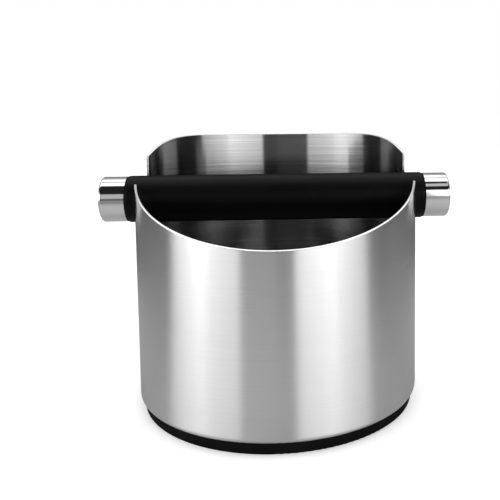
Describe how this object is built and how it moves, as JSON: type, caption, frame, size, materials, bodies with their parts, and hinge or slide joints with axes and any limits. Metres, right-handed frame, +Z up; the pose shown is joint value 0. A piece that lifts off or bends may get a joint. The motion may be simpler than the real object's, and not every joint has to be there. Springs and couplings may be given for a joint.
{
  "type": "espresso knock box",
  "caption": "Counter-top bin for spent espresso grounds: a steel bucket with a sloping lip on a rubber foot, and a rubber-covered knock bar that lifts out of notches.",
  "frame": {"origin": "centre of the underside, on the surface that the box stands on", "axes": "+X along the knock bar, -Y towards the low side of the lip, +Z up"},
  "size_m": [0.1692, 0.136, 0.129],
  "materials": {
    "bucket_steel": "brushed stainless steel",
    "foot_rubber": "matte black rubber",
    "rod_steel": "turned steel",
    "sleeve_rubber": "satin black rubber",
    "cap_chrome": "polished chrome",
    "stud_steel": "zinc-plated steel"
  },
  "bodies": {
    "bucket": {"bucket": "bucket_steel", "rubber_foot": "foot_rubber"},
    "bar": {"core_rod": "rod_steel", "left_stud": "stud_steel", "right_stud": "stud_steel", "left_end_cap": "cap_chrome", "right_end_cap": "cap_chrome"},
    "sleeve": {"rubber_sleeve": "sleeve_rubber"}
  },
  "joints": [
    {"name": "bar_lift", "type": "slide", "parent": "bucket", "child": "bar", "axis": [0, 0, 1], "range_m": [0, 0.05]},
    {"name": "sleeve_turn", "type": "hinge", "parent": "bar", "child": "sleeve", "pos_m": [0, 0, 0.098], "axis": [1, 0, 0], "continuous": true}
  ]
}
